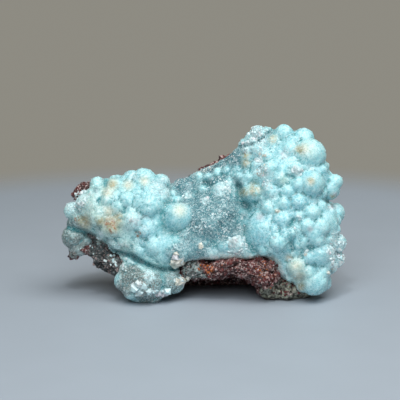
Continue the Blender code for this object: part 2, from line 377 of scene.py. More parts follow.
look = Look("iron stained rock")
patch = look.noise(5.0, 4.0, 0.6)
field = look.noise(14.0, 3.0)
colour = look.blend(look.noise(1.6, 3.0).over(0.35, 0.7), DARK_RED, LIGHT_RED)
colour = look.blend(patch.over(0.55, 0.75) * 0.7, colour, TAN)
colour = look.blend(field.over(0.52, 0.64) * 0.5, colour, BROWN)
colour = look.blend((0.5 - field).over(0.02, 0.14) * 0.6, colour, DARK_BROWN)
grain = look.chance(ROCK_GRAIN)
pale = grain.over(0.90, 0.94) + look.mask("pink") * grain.over(0.6, 0.7)
colour = look.blend(pale.over(0.0, 1.0), colour, PALE_PINK)
orange = (look.mask("orange") + look.noise(3.0, 3.0).over(0.60, 0.72) * 0.35).over(0.15, 0.8)
stained = look.chance(ROCK_GRAIN, "Green").over(0.55, 0.75)
colour = look.blend(orange * stained, colour, ORANGE)
step = look.noise(1.2, 3.0).over(0.35, 0.65)
for name, (dark, light) in STONES.items():
    share = (look.mask(name) * 2.0 + (patch - 0.5)).over(0.2, 0.6)
    colour = look.blend(share, colour, look.blend(step, dark, light))
fleck = look.chance(ROCK_FLECK)
speckled = look.noise(5.0, 3.0).over(0.35, 0.6) * 0.5 + 0.4
speckled = speckled * (1.0 - (look.mask("olive") + look.mask("grey")).over(0.0, 0.4) * 0.6)
colour = look.blend(fleck.over(0.74, 0.90) * speckled, colour, PALE_FLECK)
colour = look.blend((0.38 - fleck).over(0.0, 0.2) * speckled, colour, DARK_FLECK)
# Painted shade: the rock is darkened in its pits and hollows
colour = look.blend(look.mask("hollow").over(0.55, 0.95) * 0.85, colour, PAINTED_PIT_SHADE)
relief = look.bump(look.grains(0.55), 0.22, look.facets(0.45, 1.1))
relief = look.bump(look.noise(0.5, 3.0), 0.12, relief)
rock_look = look.shine(
    Base_Color=colour, Roughness=0.20 + 0.5 * look.noise(0.8, 2.0), Normal=relief)
finish_piece(rock, rock_look)
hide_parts("matrix")

# THE CRUST
# Hemimorphite that grew as a thick crust of balls over the matrix: zinc silicate tinted blue-green
# by copper, translucent and sugar-coated. Its masses and balls are grown together, so it is one
# piece, and it is held by the rock it grew on.

# Each mass is the skin stretched over a few balls: x, y, z and radius
CRUST_MASSES = [
    [(36, -8, 9, 6.5), (27, -9, 13, 5), (30, 6, 12, 10), (41, 2, 16, 4), (38, -6, 22, 7)],
    [(38, -6, 25, 7), (24, -9, 21, 7.5), (37, 6, 24, 8), (22, 6, 24, 8), (33, -6, 16, 7)],
    [(32, -5, 29, 8), (25, -5, 28, 8), (33, 6, 30, 8), (36, -1, 41, 6.2), (25, -1, 41, 6.5),
     (29, 3, 49, 5), (35, 5, 45, 5), (29, 8, 42, 7)],
    [(17, 4, 48, 5), (11, 6, 42, 4.5), (23, 4, 45, 6), (16, 2, 34, 6)],
    [(9, 7.5, 41.7, 3.9), (-4, 9, 34.6, 3.8), (-12, 7, 31, 4), (-9, -8, 17, 4), (16, -9, 17.6, 4)],
    [(-8, -3, 27, 5), (1, -5, 24, 6), (8, 0, 30, 6)],
    [(-35, -1, 30, 7), (-19, -1, 31, 8), (-27, 3, 33, 6.5), (-15, -5, 24, 6), (-38, 2, 26, 6),
     (-25, -4, 24, 7), (-27, 8, 28, 7)],
    [(-20, -8, 18.5, 3.5), (-11, -11, 17.2, 3.5), (-4, -10, 17.4, 3.5), (-12, -4, 23, 5)],
    [(-43, 1, 18, 3.5), (-40, 2, 24, 5)],
    [(-20.5, -10, 6, 7), (-12.5, -10, 7, 5), (-12, -4, 13, 4.5)],
    [(-26, -7.5, 15, 2.5), (-19, -8.5, 14, 3), (-24, -3, 20, 4)],
]
# Balls seen from the front, by how far their middles lie under the mass that carries them, as a
# share of the radius: across and up from the target in the view, and radius
FRONT_BALLS = {
    0.65: [(22.0, -11.0, 7.0), (-25.0, -27.0, 3.6), (-24.0, -23.5, 3.0), (37.7, -11.0, 4.7),
           (27.7, -7.0, 4.0), (-14.3, 1.0, 4.3), (-18.0, -27.5, 5.4), (-12.0, -27.5, 3.4),
           (-22.5, -30.0, 3.3), (-16.0, -31.5, 3.2), (-8.7, -27.5, 3.4), (-19.5, -23.6, 2.8),
           (-14.0, -23.8, 2.6), (40.0, -17.7, 4.5)],
    0.25: [(32.3, 9.6, 1.9), (36.6, 15.0, 5.3), (34.4, 20.4, 3.6), (28.0, 22.0, 3.2),
           (24.3, 18.6, 3.3), (37.0, 5.4, 4.3), (16.7, 1.9, 3.2), (19.0, 2.2, 3.1),
           (-7.5, -5.8, 4.8), (32.3, -22.3, 3.5), (45.0, -4.3, 3.3), (33.0, 5.0, 2.9),
           (43.0, 3.7, 3.6)],
    0.4: [(38.0, -27.2, 4.5), (36.0, -24.0, 2.8), (41.0, -24.0, 2.4), (43.2, -22.3, 2.3),
           (34.3, -28.3, 2.5), (3.0, 7.3, 2.0), (6.0, 9.0, 1.9), (9.2, 9.7, 1.8), (10.0, 5.8, 1.9),
           (1.0, 3.4, 1.7), (11.3, 8.6, 1.6), (30.0, 16.7, 2.6), (19.3, 22.4, 2.4),
           (17.0, 20.8, 2.0), (14.7, 18.7, 1.8), (22.4, 21.8, 2.6), (21.0, 19.6, 2.2),
           (17.8, 18.0, 2.0), (19.3, 16.7, 2.2), (15.7, 14.0, 1.8), (41.0, 10.0, 1.5),
           (15.7, 12.0, 1.8), (19.0, 11.7, 1.8), (23.3, 10.7, 2.4), (27.3, 10.3, 1.9),
           (32.0, 10.0, 2.2), (27.0, 7.0, 2.8), (45.0, 6.0, 2.6), (13.3, 7.7, 1.8),
           (16.3, 7.7, 1.7), (23.7, 2.7, 2.6), (29.3, 2.7, 2.5), (33.0, -1.0, 2.9),
           (28.0, -1.3, 2.4), (40.3, -2.3, 2.1), (37.3, -4.3, 2.9), (33.0, -5.3, 2.0),
           (22.7, -2.7, 2.2), (18.0, -12.0, 3.0), (26.3, -14.3, 3.1), (29.0, -11.7, 2.7),
           (20.3, -6.3, 3.0), (35.7, -8.7, 2.8), (40.3, -9.0, 3.0), (39.0, -13.0, 2.9),
           (34.3, -14.0, 2.0), (42.3, -20.5, 2.7), (45.7, -14.3, 3.0), (45.3, -19.7, 2.8),
           (36.3, -19.3, 2.4), (12.3, -15.0, 2.7), (6.3, 3.0, 2.8), (-8.0, -0.7, 2.3),
           (21.3, -16.7, 2.2)],
    0.6: [(-13.0, 5.7, 3.0), (-18.7, 6.3, 4.2), (-22.7, 6.3, 3.6), (-28.5, 4.3, 3.2),
           (-34.3, 5.3, 2.5), (-34.7, 3.3, 2.2), (-31.3, 0.0, 2.6), (-17.0, -2.0, 4.6),
           (-24.3, -0.3, 3.2), (-27.3, -2.5, 2.6), (-38.3, -1.0, 3.0), (-42.3, -3.7, 3.0),
           (-39.0, -6.3, 3.8), (-33.5, -5.5, 3.8), (-29.3, -9.0, 4.0), (-22.7, -7.0, 4.0),
           (-24.3, -13.0, 3.6), (-17.3, -10.0, 3.4), (-15.5, -15.3, 3.2), (-27.5, -14.3, 3.2),
           (-36.0, -10.5, 3.0), (-32.5, -12.5, 2.6), (-20.0, -16.7, 3.2), (-12.0, -18.5, 3.0),
           (-42.3, -12.3, 3.8), (-40.5, -15.3, 3.5), (-38.3, -13.3, 3.0), (-6.5, -19.0, 3.0)],
}
# The viewpoint of the front: what it looks at, from how far, and how many degrees from above
VIEW_TARGET = Vector((-1.0, 0.0, 32.0))
VIEW_DISTANCE = 600.0
FRONT_TILT = 12.0
# How far from the target a sight line looks for a mass, and in what steps
SEARCH_REACH = 60.0
SEARCH_STEP = 0.4
# Cells of the masses and of the crust with its balls, and how much each is softened
MASS_VOXEL = 1.2
MASS_SOFTENING = 8
CRUST_VOXEL = 0.46
CRUST_SOFTENING = 4
# Moves the crust over the origin, to where its solid is
CENTRE_SHIFT = Vector((-0.07, -2.55, 0.0))
# Balls at random places: least and greatest radius, how many places are tried, how far a middle
# keeps out of its neighbours as a share of the smaller radius, and how deep it lies
SCATTERS = [(1.8, 4.2, 4000, 0.25, 0.5), (0.8, 2.0, 900, 0.4, 0.5)]
SCATTER_SEED = 11
# A group whose balls are all larger than this lies only where the surface turns to the front by
# less than the next value
LARGE_BALL = 1.0
TURNED_AWAY = 0.05
# The balls grew wider than they show, and into each other
SPREAD = 1.05
# How near the rock the crust thins out and carries no more balls
THIN_EDGE = 1.8
# Crevices and hollows of the front: radius and depth, then their course, across and up
CARVED = [
    (1.2, 2.6, [(13.0, 4.5), (13.7, 0.0), (14.6, -2.0)]),
    (2.0, 3.2, [(14.7, -1.2), (15.3, -2.6)]),
    (1.4, 1.2, [(14.4, -4.0), (12.0, -10.0)]),
    (1.2, 1.6, [(1.7, 5.7), (3.4, 4.6)]),
    (0.8, 1.9, [(24.3, 23.3), (21.3, 20.8), (18.7, 18.9), (13.7, 17.7)]),
    (0.8, 1.0, [(28.8, 8.1), (31.3, 7.4)]),
    (0.9, 1.2, [(-11.0, 4.3), (-10.6, 3.3)]),
    (1.0, 3.6, [(-38.0, -11.2), (-35.0, -13.0), (-32.5, -14.8), (-29.0, -17.3), (-23.0, -18.6),
                (-19.5, -20.8), (-16.0, -22.4), (-12.0, -23.4), (-9.0, -23.0)]),
    (0.8, 1.6, [(-13.0, -24.0), (-12.0, -27.0), (-12.6, -30.0)]),
    (0.8, 1.5, [(-44.0, -9.2), (-41.0, -10.0), (-38.0, -10.7)]),
    (0.7, 1.3, [(-31.5, 7.0), (-31.8, 3.0), (-34.0, -0.5)]),
    (1.6, 0.9, [(-12.6, -5.0), (-12.8, -8.0), (-11.3, -10.8), (-8.0, -11.6)]),
    (1.2, 0.8, [(14.4, -9.0), (14.8, -13.0), (17.5, -17.0)]),
    (1.0, 0.8, [(31.0, -7.0), (29.5, -9.5), (31.0, -16.5)]),
]
# How wide their flanks and their shade are, as shares of the radius
CARVED_FLANKS = 1.5
CARVED_SHADE = 3.0
# The thin pale edge of the crust over the arch: its width, then its course, across and up
RIM_WIDTH = 2.2
ARCH_RIM = [(-1.0, -20.6), (2.0, -19.2), (6.0, -18.8), (11.0, -18.8), (16.0, -19.0), (20.0, -20.0),
            (24.0, -21.8), (28.0, -25.5)]
# The cobbled skin of the masses: width, height and seed of the cobbles, how crooked their edges
# are, how wide their domes, how deep they lie and how much they differ in height
COBBLES = [(3.2, 0.43, 61), (1.5, 0.15, 62)]
COBBLE_SWAY = 0.35
COBBLE_DOME = 0.95
COBBLE_SUNK = 0.7
COBBLE_SPREAD = 0.4
# They stand out most in these spots of the front view, and by this share elsewhere
COBBLED_ELSEWHERE = 0.4
COBBLED = [(-24.0, 0.0, 13.0), (-32.0, -7.0, 11.0), (-22.0, -12.0, 9.0), (-16.0, -27.0, 10.0),
           (22.0, -14.0, 9.0), (31.0, -15.0, 8.0), (17.0, 13.0, 7.0), (-11.0, 2.0, 6.0),
           (9.0, 7.0, 6.0), (3.0, 5.0, 5.0)]
# Where a fine druse grew in place of balls: across, up and radius in the front view
DRUSE = [(-4.0, -4.0, 9.0), (3.0, 0.0, 10.0), (6.0, 9.0, 7.0), (0.0, -13.0, 10.0),
         (-7.0, -18.0, 6.0), (9.0, -10.0, 7.0), (12.0, 14.0, 4.0), (-5.0, 5.0, 6.0),
         (10.0, 0.0, 5.0), (8.0, -5.0, 7.0), (18.0, 21.5, 3.6), (14.6, 17.6, 2.8),
         (8.5, 15.0, 4.0), (2.0, 11.0, 4.0)]
# Where that druse is finer and smoother
CALM = [(-4.0, -15.0, 9.0), (-11.0, -14.0, 7.0), (4.0, -17.0, 6.0), (-3.0, 3.0, 4.5)]
# Swells and grain of the druse, and the ripple of all the crust: width, height and seed
DRUSE_SWELLS = [(7.0, 1.5, 55), (3.2, 0.7, 53), (1.1, 0.12, 54)]
CRUST_RIPPLES = [(1.9, 0.10, 51)]
# More druse than this at a place keeps random balls away
BALLS_KEPT_OFF = 0.15
# How far round the crust the spots of the front view reach, as the least that the surface there
# turns to the front: for keeping balls away, for druse and for paint
CLEAR_ROUND = -0.85
DRUSE_ROUND = -0.2
PAINT_ROUND = -0.1
# How near a ball the crust has the ball's own tone, and how far off it druse begins
TONE_REACH = 0.4
DRUSE_OFF_BALLS = 0.1
TONE_SEED = 3
# Hollows of three sizes, for the painted shade in them: rounds of averaging that span them, and
# their depth
HOLLOWS = {"crease": (2, 0.05), "hollow": (12, 0.28), "valley": (80, 1.3)}


class View:
    """A viewpoint before the specimen that looks at the target, and its sight lines."""

    def __init__(self, tilt):
        dip = math.radians(tilt)
        self.up = Vector((0.0, math.sin(dip), math.cos(dip)))
        self.forward = Vector((0.0, math.cos(dip), -math.sin(dip)))
        self.eye = VIEW_TARGET - self.forward * VIEW_DISTANCE

    def sight_line(self, across, up):
        """Direction from the eye to the point this far across and up from the target."""
        point = VIEW_TARGET + Vector((across, 0.0, 0.0)) + self.up * up
        return (point - self.eye).normalized()

    def faced(self, outward):
        """How far each outward direction turns to the front, from -1 to 1."""
        return -(outward @ np.array(self.forward))

    def seen(self, points):
        """How far across and up from the target each point is seen."""
        away = points - np.array(self.eye)
        scale = VIEW_DISTANCE / (away @ np.array(self.forward))
        return np.stack([away[:, 0], away @ np.array(self.up)], axis=1) * scale[:, None]


front = View(FRONT_TILT)


def seen_near(points, spots):
    """1 in the middle of round spots of the front view, falling to 0 at their rims."""
    seen = front.seen(points)
    flat = np.column_stack([seen, np.zeros(len(points))])
    return near(flat, [(across, up, 0.0, radius) for across, up, radius in spots])


def along(points, course, radius):
    """1 on a course through the front view, falling to 0 at this distance from it."""
    seen = front.seen(points)
    best = np.zeros(len(points))
    for start, end in zip(course, course[1:]):
        run = np.subtract(end, start)
        share = np.clip((seen - start) @ run / (run @ run), 0.0, 1.0)
        far = np.linalg.norm(seen - start - share[:, None] * run, axis=1)
        reach = np.clip(1.0 - far / radius, 0.0, 1.0)
        best = np.maximum(best, soft_step(reach))
    return best


def skin_over(balls):
    """The convex skin stretched over a few balls, as a bmesh."""
    skin = bmesh.new()
    for x, y, z, radius in balls:
        bmesh.ops.create_icosphere(
            skin, subdivisions=3, radius=radius, matrix=Matrix.Translation((x, y, z)))
    bmesh.ops.delete(skin, geom=skin.edges[:], context="EDGES_FACES")
    bmesh.ops.convex_hull(skin, input=skin.verts[:])
    inner = [vert for vert in skin.verts if not vert.link_faces]
    bmesh.ops.delete(skin, geom=inner, context="VERTS")
    bmesh.ops.recalc_face_normals(skin, faces=skin.faces[:])
    return skin


def seat(across, up, radius, sink, tree):
    """Middle of a ball that sits on the carrying mass where the sight line meets it."""
    line = front.sight_line(across, up)
    travel = VIEW_DISTANCE - SEARCH_REACH
    least = None
    while travel < VIEW_DISTANCE + SEARCH_REACH:
        point = front.eye + line * travel
        nearest, outward, _, distance = tree.find_nearest(point)
        depth = distance if (point - nearest).dot(outward) > 0 else -distance
        if least is None or depth < least:
            least = depth
            middle = point
        if depth <= -sink * radius:
            break
        travel += SEARCH_STEP
    return middle


def many(name, corners, facets, turns, middles):
    """One mesh of many copies of a small shape: a turn and a middle for each."""
    points = np.einsum("kij,nj->kni", turns, corners) + middles[:, None, :]
    triangles = facets[None] + (np.arange(len(turns)) * len(corners))[:, None, None]
    mesh = bpy.data.meshes.new(name)
    mesh.vertices.add(len(turns) * len(corners))
    mesh.loops.add(triangles.size)
    mesh.polygons.add(triangles.size // 3)
    mesh.vertices.foreach_set("co", points.astype(np.float32).ravel())
    mesh.loops.foreach_set("vertex_index", triangles.astype(np.int32).ravel())
    mesh.polygons.foreach_set("loop_start", np.arange(0, triangles.size, 3, dtype=np.int32))
    mesh.update(calc_edges=True)
    return mesh


def ball_shape(subdivisions):
    ball = bmesh.new()
    bmesh.ops.create_icosphere(ball, subdivisions=subdivisions, radius=1.0)
    corners = np.array([vert.co[:] for vert in ball.verts])
    facets = np.array([[vert.index for vert in face.verts] for face in ball.faces])
    ball.free()
    return corners, facets


masses = bpy.data.meshes.new("masses")
joined = bmesh.new()
for mass in CRUST_MASSES:
    skin = skin_over(mass)
    skin.to_mesh(masses)
    skin.free()
    joined.from_mesh(masses)
joined.to_mesh(masses)
crust = add_object("botryoidal_crust", masses)
melt(crust, MASS_VOXEL, MASS_SOFTENING)
carrier = tree_of(crust.data)
balls = np.array([
    (*seat(across, up, radius, sink, carrier), radius)
    for sink, group in FRONT_BALLS.items() for across, up, radius in group])
points, outward = places(crust.data)
facing = front.faced(outward)
in_druse = seen_near(points, DRUSE) * (facing > CLEAR_ROUND) > BALLS_KEPT_OFF
thin = np.array([
    rock_tree.find_nearest(Vector(point) + CENTRE_SHIFT)[3] < THIN_EDGE for point in points])
dice = random.Random(SCATTER_SEED)
for least, greatest, tries, apart, sink in SCATTERS:
    for index in dice.sample(range(len(points)), min(tries, len(points))):
        radius = dice.uniform(least, greatest)
        large_in_front = least > LARGE_BALL and facing[index] > TURNED_AWAY
        if large_in_front or in_druse[index] or thin[index]:
            continue
        middle = points[index] - outward[index] * (sink * radius)
        gap = np.linalg.norm(balls[:, :3] - middle, axis=1)
        larger = np.maximum(balls[:, 3], radius)
        if (gap > larger + apart * np.minimum(balls[:, 3], radius)).all():
            balls = np.vstack([balls, (*middle, radius)])
ball_corners, ball_facets = ball_shape(subdivisions=4)
ball_mesh = many(
    "balls", ball_corners, ball_facets, np.eye(3) * (SPREAD * balls[:, 3, None, None]),
    balls[:, :3])
joined.clear()
joined.from_mesh(crust.data)
joined.from_mesh(ball_mesh)
joined.to_mesh(crust.data)
joined.free()
melt(crust, CRUST_VOXEL, CRUST_SOFTENING)

points, outward = places(crust.data)
whose = np.zeros(len(points), dtype=int)
reach = np.full(len(points), np.inf)
for number, (x, y, z, radius) in enumerate(balls):
    gap = np.linalg.norm(points - (x, y, z), axis=1) - SPREAD * radius
    closer = gap < reach
    whose = np.where(closer, number, whose)
    reach = np.where(closer, gap, reach)
tone = np.random.default_rng(TONE_SEED).random(len(balls))[whose]
tone = np.where(reach < TONE_REACH, tone, 0.5)
facing = front.faced(outward)
druse = seen_near(points, DRUSE) * 2.0 * (reach > DRUSE_OFF_BALLS) * (facing > DRUSE_ROUND)
druse = neighbour_mean(crust.data, np.clip(druse, 0.0, 1.0)[:, None], rounds=4)[:, 0]
calm = seen_near(points, CALM)
lump = np.zeros(len(points))
for size, height, seed in DRUSE_SWELLS:
    lump += druse * ripple(points, size, seed) * height
for size, height, seed in CRUST_RIPPLES:
    lump += ripple(points, size, seed) * height
cobbled = np.clip(COBBLED_ELSEWHERE + 1.2 * seen_near(points, COBBLED), 0.0, 1.0)
cobbled = cobbled * (1.0 - 0.5 * druse)
for size, height, seed in COBBLES:
    number, gap, _ = blocks(points, size, seed, COBBLE_SWAY)
    dome = np.clip(gap / (COBBLE_DOME * size), 0.0, 1.0)
    rise = dome * (2.0 - dome) - COBBLE_SUNK + COBBLE_SPREAD * (number - 0.5)
    lump += cobbled * height * rise
    tone = tone + (number - 0.5) * 0.5 * cobbled
points = points + outward * lump[:, None]
cut = np.zeros(len(points))
for radius, depth, course in CARVED:
    cut = np.maximum(cut, depth * along(points, course, radius * CARVED_FLANKS))
points = points + np.array(front.forward) * (cut * (facing > 0.0))[:, None]
share = np.clip(cut * 3.0, 0.0, 1.0)[:, None]
points = points + share * (neighbour_mean(crust.data, points, rounds=4) - points)
points[:, 2] = np.maximum(points[:, 2], 0.0)
put_points(crust.data, points)

# Stains, frost and painted shade of recesses, in the front view: across, up and radius
SPOTS = {
    "rust": [(20.0, 9.3, 2.2), (-29.9, -8.0, 2.8), (-29.2, -10.0, 2.0), (-20.7, -11.3, 1.6),
             (-41.0, -6.3, 1.4)],
    "ochre": [(24.3, 20.3, 2.4), (15.3, 15.0, 2.4), (15.3, 12.3, 2.4), (18.0, 3.4, 3.6),
              (14.7, 2.6, 2.6), (33.0, 16.7, 2.4), (37.0, 6.3, 2.4), (-29.0, 5.3, 2.8),
              (-33.3, -7.0, 2.8), (-38.7, -6.7, 3.4), (-27.3, -6.0, 3.0), (25.7, -3.7, 1.2),
              (-29.6, -7.8, 5.4), (33.5, -29.0, 2.5), (44.3, 1.3, 1.6)],
    "cream": [(-6.7, -3.4, 3.8), (32.0, -21.7, 4.0), (29.7, -19.3, 2.2), (-37.7, -8.3, 2.8),
              (-18.5, 6.5, 2.8), (-31.0, 2.5, 3.0), (-24.0, 5.0, 3.0), (34.5, 17.0, 2.6),
              (33.0, -25.3, 3.0), (-30.5, -3.5, 2.6)],
    "pink": [(20.0, -5.7, 2.2), (36.7, -9.7, 1.6), (44.0, -2.3, 1.8), (6.3, 3.8, 2.2),
             (-21.0, -7.3, 2.0), (45.0, 2.0, 1.2), (32.3, 9.6, 2.2), (27.7, 15.3, 1.6)],
    "frost": [(19.3, 21.3, 5.0), (16.0, 17.6, 3.4), (20.0, 16.3, 3.4), (21.3, 9.2, 3.4),
              (19.6, 13.0, 2.6), (22.7, 5.0, 2.4), (24.3, 1.3, 1.8), (-22.0, -6.7, 4.0),
              (-18.6, -9.6, 2.2), (-38.6, 0.6, 2.0), (-40.7, 0.0, 2.2), (-43.0, -2.6, 3.0),
              (-15.0, 4.3, 3.4), (-11.7, 2.3, 3.0), (-33.3, -12.0, 2.2), (-31.3, -15.7, 1.9),
              (45.7, -16.7, 5.6), (46.7, -21.7, 4.8), (43.4, -17.0, 3.0), (12.3, -15.0, 4.2),
              (-21.0, -29.3, 2.6), (-13.3, -31.0, 2.5), (-16.7, -25.7, 2.9), (37.0, 11.0, 2.0),
              (6.5, 2.8, 2.6), (1.7, -0.3, 1.8), (-4.0, 1.7, 1.8), (9.0, 4.8, 2.2),
              (29.0, 16.0, 2.0), (32.3, 9.6, 2.4), (45.0, -12.0, 3.0), (47.0, -12.0, 2.0),
              (-17.0, -24.0, 2.0), (-9.0, -25.0, 1.6), (-6.0, -24.0, 2.0), (-3.0, -21.0, 2.5),
              (-27.5, -15.6, 1.8), (-29.5, -13.6, 1.8), (-12.0, 6.0, 2.6), (-22.0, 8.0, 2.4)],
    # Painted shade along cracks, grooves and recesses
    "painted_recess_shade": [(14.8, -5.5, 2.8), (15.2, -1.8, 2.2), (23.5, 22.4, 1.3), (21.6, 21.0, 1.3),
             (19.6, 19.5, 1.3), (17.2, 18.5, 1.3), (14.8, 17.9, 1.3), (-32.5, -14.6, 2.0),
             (-30.5, -16.0, 2.0), (-28.0, -17.4, 2.0), (-25.0, -18.1, 2.0), (-22.0, -19.2, 1.8),
             (-19.5, -20.6, 1.6), (-34.7, 3.3, 2.0), (12.0, -10.0, 5.0), (11.0, -4.0, 4.5),
             (8.0, -13.5, 3.0), (12.5, 6.0, 3.0), (3.5, 6.5, 3.0), (-36.0, -14.0, 2.5)],
    "mint": [(-37.0, -3.0, 14.0), (-30.0, -9.0, 13.0), (-39.0, -9.0, 7.0), (-25.0, -16.0, 7.0),
             (-31.0, 4.0, 5.0), (-15.0, -27.0, 12.0), (33.0, -25.0, 7.0), (36.0, 17.0, 5.0),
             (28.0, 6.7, 3.4)],
    "slate": [(-43.0, -12.5, 9.0), (-37.0, -14.0, 5.0), (-17.0, -29.0, 9.0), (-8.0, -27.0, 6.0),
              (2.0, -21.0, 3.0), (-25.0, -29.0, 5.0), (-23.0, -25.0, 6.0), (-12.0, -33.0, 5.0)],
}
painted = facing > PAINT_ROUND
for name, spots in SPOTS.items():
    write_mask(crust.data, name, seen_near(points, spots) * painted)
shade = [along(points, course, radius * CARVED_SHADE) for radius, _, course in CARVED]
write_mask(crust.data, "rim", along(points, ARCH_RIM, RIM_WIDTH) * painted)
write_mask(crust.data, "shade", np.max(shade, axis=0) * painted)
crust.data.transform(Matrix.Translation(CENTRE_SHIFT))
points, outward = places(crust.data)
edge = np.array([rock_tree.find_nearest(point)[3] for point in points])
write_mask(crust.data, "edge", np.clip(1.0 - edge / THIN_EDGE, 0.0, 1.0))
write_mask(crust.data, "tone", np.clip(tone, 0.0, 1.0))
write_mask(crust.data, "druse", druse)
write_mask(crust.data, "calm", calm)
for name, span in HOLLOWS.items():
    write_mask(crust.data, name, hollowness(crust.data, *span))
crust_tree = tree_of(crust.data)

# Colours as red, green and blue: first those of the crust itself and of its painted shade and
# light
BLUE = (0.265, 0.60, 0.685)
PALE_BLUE = (0.385, 0.725, 0.775)
CLOUD_BLUE = (0.395, 0.725, 0.76)
TEAL = (0.20, 0.55, 0.61)
DRUSE_TEAL = (0.07, 0.20, 0.24)
PAINTED_HOLLOW_SHADE = (0.05, 0.28, 0.31)
LIGHT_SPECK = (0.70, 0.92, 0.94)
DARK_SPECK = (0.17, 0.48, 0.55)
PAINTED_RISE_HIGHLIGHT = (0.66, 0.90, 0.91)
THIN_CRUST = (0.50, 0.57, 0.54)
PALE_RIM = (0.74, 0.86, 0.85)
SUGAR_WHITE_AND_SPARKLE = (0.84, 0.96, 0.98)
SUGAR_DARK_AND_SHADE = (0.07, 0.31, 0.36)
# Then those of its stains and frost, and of the painted shade of its recesses
MINT = (0.53, 0.70, 0.63)
SLATE = (0.135, 0.13, 0.115)
SLATE_CRACK = (0.03, 0.07, 0.07)
CREAM = (0.62, 0.64, 0.52)
OCHRE = (0.42, 0.38, 0.22)
PINK = (0.68, 0.60, 0.63)
RUST = (0.31, 0.14, 0.05)
FROST = (0.68, 0.96, 1.0)
PAINTED_RECESS_SHADE = (0.10, 0.21, 0.24)
# Width of the sugary grains
SUGAR_WIDTH = 0.40

look = Look("botryoidal hemimorphite")
hollow = look.mask("hollow")
speck = look.noise(0.9, 4.0, 0.7)
sugar = look.chance(SUGAR_WIDTH)
smooth = look.noise(5.0, 2.0).over(0.42, 0.6)
# How strongly the sugary grains show
coarse = look.mask("druse") * (0.65 - 0.45 * smooth) + 0.42 - 0.2 * smooth
coarse = coarse * (1.0 - 0.6 * look.mask("calm"))
colour = look.blend(look.mask("tone"), BLUE, PALE_BLUE)
colour = look.blend(look.noise(6.0, 3.0).over(0.35, 0.7), colour, CLOUD_BLUE)
colour = look.blend(look.noise(1.8, 3.0).over(0.45, 0.65) * 0.3, colour, TEAL)
colour = look.blend(look.mask("druse") * 0.8, colour, DRUSE_TEAL)
colour = look.blend(look.mask("mint") * 0.85, colour, MINT)
slate = look.mask("slate").over(0.05, 0.5)
colour = look.blend(slate * 0.9, colour, SLATE)
seam = look.noise(2.2, 3.0)
crack = seam.over(0.47, 0.50) - seam.over(0.50, 0.53)
colour = look.blend(slate * crack * 0.8, colour, SLATE_CRACK)
# Painted shade: the crust turns dark teal in creases, hollows, valleys and along the carved
# crevices
deep = hollow.over(0.56, 0.98) * 0.70 + look.mask("valley").over(0.54, 0.97) * 0.45
deep = deep + look.mask("shade") * 0.45 + look.mask("crease").over(0.60, 1.0) * 0.45
colour = look.blend(deep, colour, PAINTED_HOLLOW_SHADE)
colour = look.blend(speck.over(0.50, 0.64) * 0.35, colour, LIGHT_SPECK)
colour = look.blend((0.5 - speck).over(0.0, 0.12) * 0.35, colour, DARK_SPECK)
# Painted highlight: the crust is lighter on its rises, in patches
rise = (0.5 - hollow).over(0.02, 0.35) * look.noise(1.4, 3.0).over(0.40, 0.6)
colour = look.blend(rise * 0.40, colour, PAINTED_RISE_HIGHLIGHT)
colour = look.blend(look.mask("cream") * 0.85, colour, CREAM)
ochre = look.mask("ochre") * look.noise(1.5, 2.0).over(0.2, 0.55)
colour = look.blend(ochre, colour, OCHRE)
colour = look.blend(look.mask("pink") * 0.6, colour, PINK)
rust = look.mask("rust").over(0.0, 0.5) * look.noise(1.2, 4.0, 0.75).over(0.42, 0.58)
colour = look.blend(rust * 0.9, colour, RUST)
frost = look.mask("frost").over(0.0, 0.7) * look.noise(1.3, 4.0, 0.7).over(0.42, 0.56)
colour = look.blend(frost * 0.85, colour, FROST)
# Painted shade: the crust is darkened along cracks, grooves and recesses
colour = look.blend(look.mask("painted_recess_shade") * 0.8, colour, PAINTED_RECESS_SHADE)
edge = look.mask("edge").over(0.0, 0.7) * (0.75 - 0.55 * slate)
colour = look.blend(edge, colour, THIN_CRUST)
rim = look.mask("rim") * look.noise(2.0, 3.0).over(0.3, 0.6)
colour = look.blend(rim * 0.9, colour, PALE_RIM)
# Sugary grains, some whiter and some darker: real grain, and partly painted sparkle on the whiter
# and painted shade on the darker
colour = look.blend(sugar.over(0.62, 0.88) * coarse * 0.75, colour, SUGAR_WHITE_AND_SPARKLE)
colour = look.blend((0.4 - sugar).over(0.0, 0.3) * coarse * 0.5, colour, SUGAR_DARK_AND_SHADE)
relief = look.bump(look.grains(0.42) * coarse, 0.16, look.facets(SUGAR_WIDTH, coarse * 0.9))
relief = look.bump(look.noise(0.55, 2.0), 0.06, relief)
relief = look.bump(speck, 0.10, relief)
crust_look = look.shine(
    Base_Color=colour, Roughness=0.10 + 0.42 * sugar, Normal=relief,
    Subsurface_Weight=0.55, Subsurface_Radius=(0.8, 1.3, 1.35), Subsurface_Scale=0.0018,
    IOR=1.6)
finish_piece(crust, crust_look)
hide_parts("hemimorphite_crust")

# THE DRUSE
# Thousands of small flattened blades with bevelled tips, which grew out of the crust side by side.
# They cover the saddle and the right-hand rim, and stand thinly on the balls.
BLADE_CORNERS = np.array([
    (-0.5, -0.2, 0.0), (0.5, -0.2, 0.0), (0.5, 0.2, 0.0), (-0.5, 0.2, 0.0),
    (-0.5, -0.2, 0.72), (0.5, -0.2, 0.72), (0.5, 0.2, 0.72), (-0.5, 0.2, 0.72),
    (-0.12, 0.0, 1.0), (0.12, 0.0, 1.0)])
BLADE_FACETS = np.array([
    (0, 2, 1), (0, 3, 2), (0, 1, 5), (0, 5, 4), (1, 2, 6), (1, 6, 5), (2, 3, 7), (2, 7, 6),
    (3, 0, 4), (3, 4, 7), (4, 5, 9), (4, 9, 8), (6, 7, 8), (6, 8, 9), (5, 6, 9), (7, 4, 8)])
DRUSE_BLADES = 12000
DRUSE_SEED = 5
